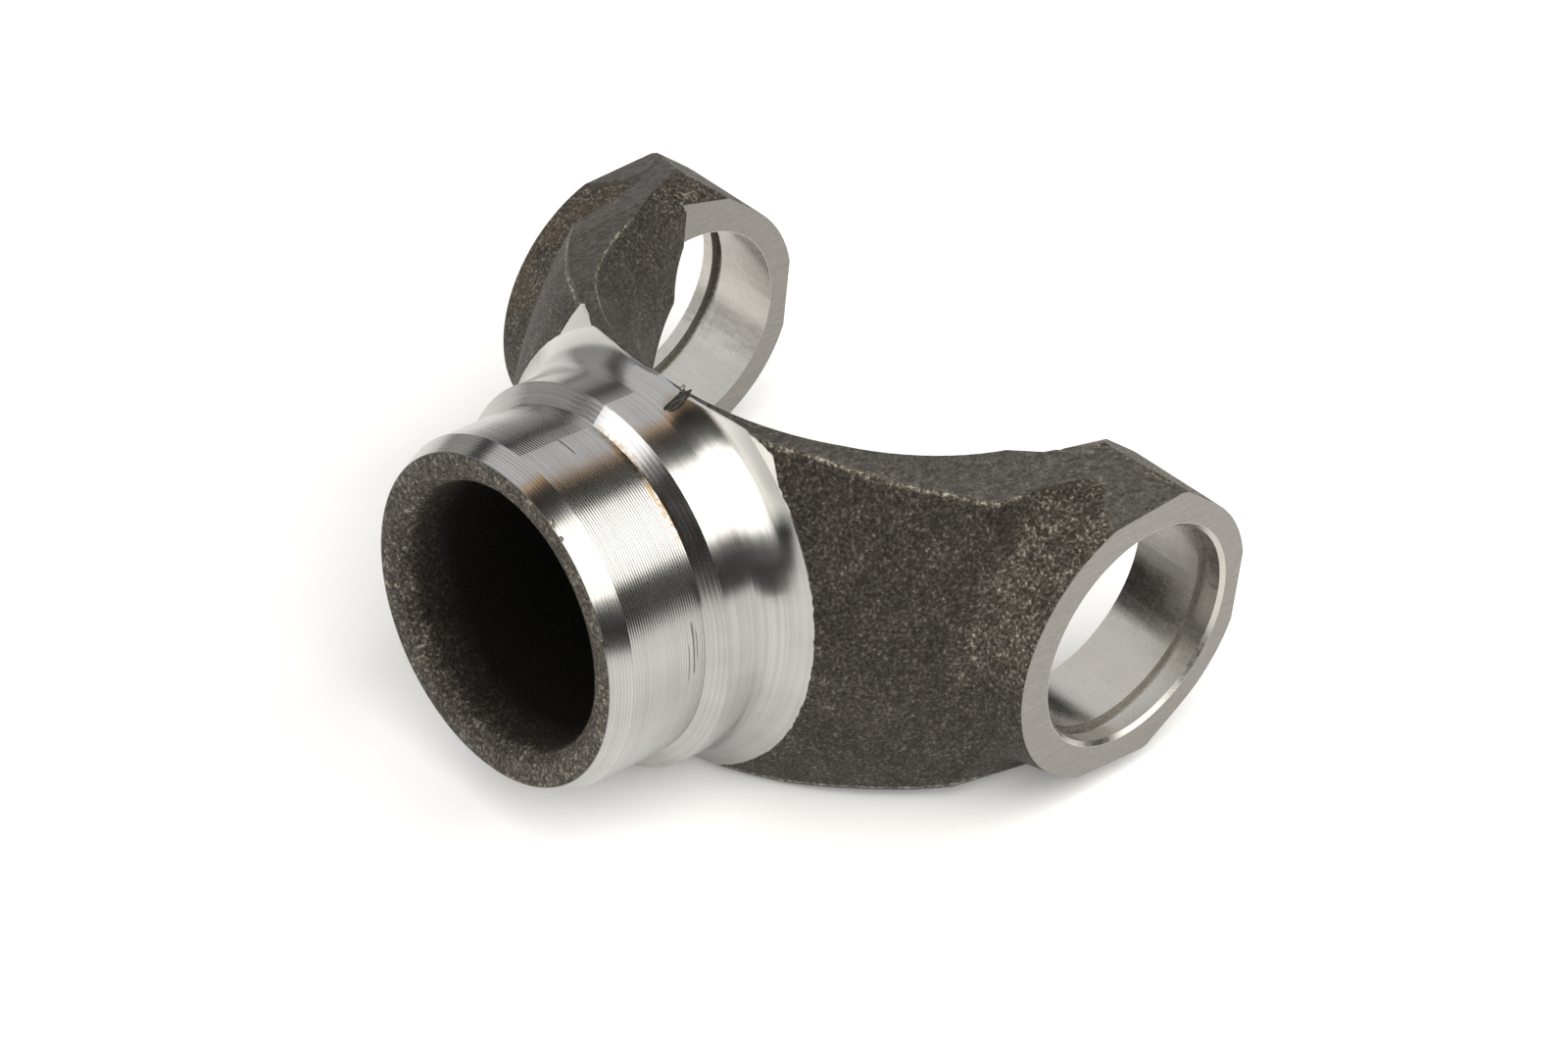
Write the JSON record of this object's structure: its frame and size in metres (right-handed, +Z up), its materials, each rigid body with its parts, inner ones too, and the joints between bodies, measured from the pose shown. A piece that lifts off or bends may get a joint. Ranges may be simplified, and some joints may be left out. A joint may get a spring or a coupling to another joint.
{
  "type": "forged yoke",
  "caption": "Forged weld yoke: hollow turned hub with a weld bevel and two arms with bored ears for the bearing caps of a joint cross.",
  "frame": {"origin": "centre of the cross, where the hub axis meets the axis of the cap bores", "axes": "+Y along the cap bores, +Z up, with hub and ears lying on the ground; the hub axis leans 5.7 degrees, and the hub's rim points to -X and a little up"},
  "size_m": [0.0818, 0.097, 0.052],
  "materials": {
    "forged_steel": "dark shot-blasted forging skin, bare turned and bored steel where it is machined"
  },
  "bodies": {
    "root": {"yoke": "forged_steel"}
  },
  "joints": []
}
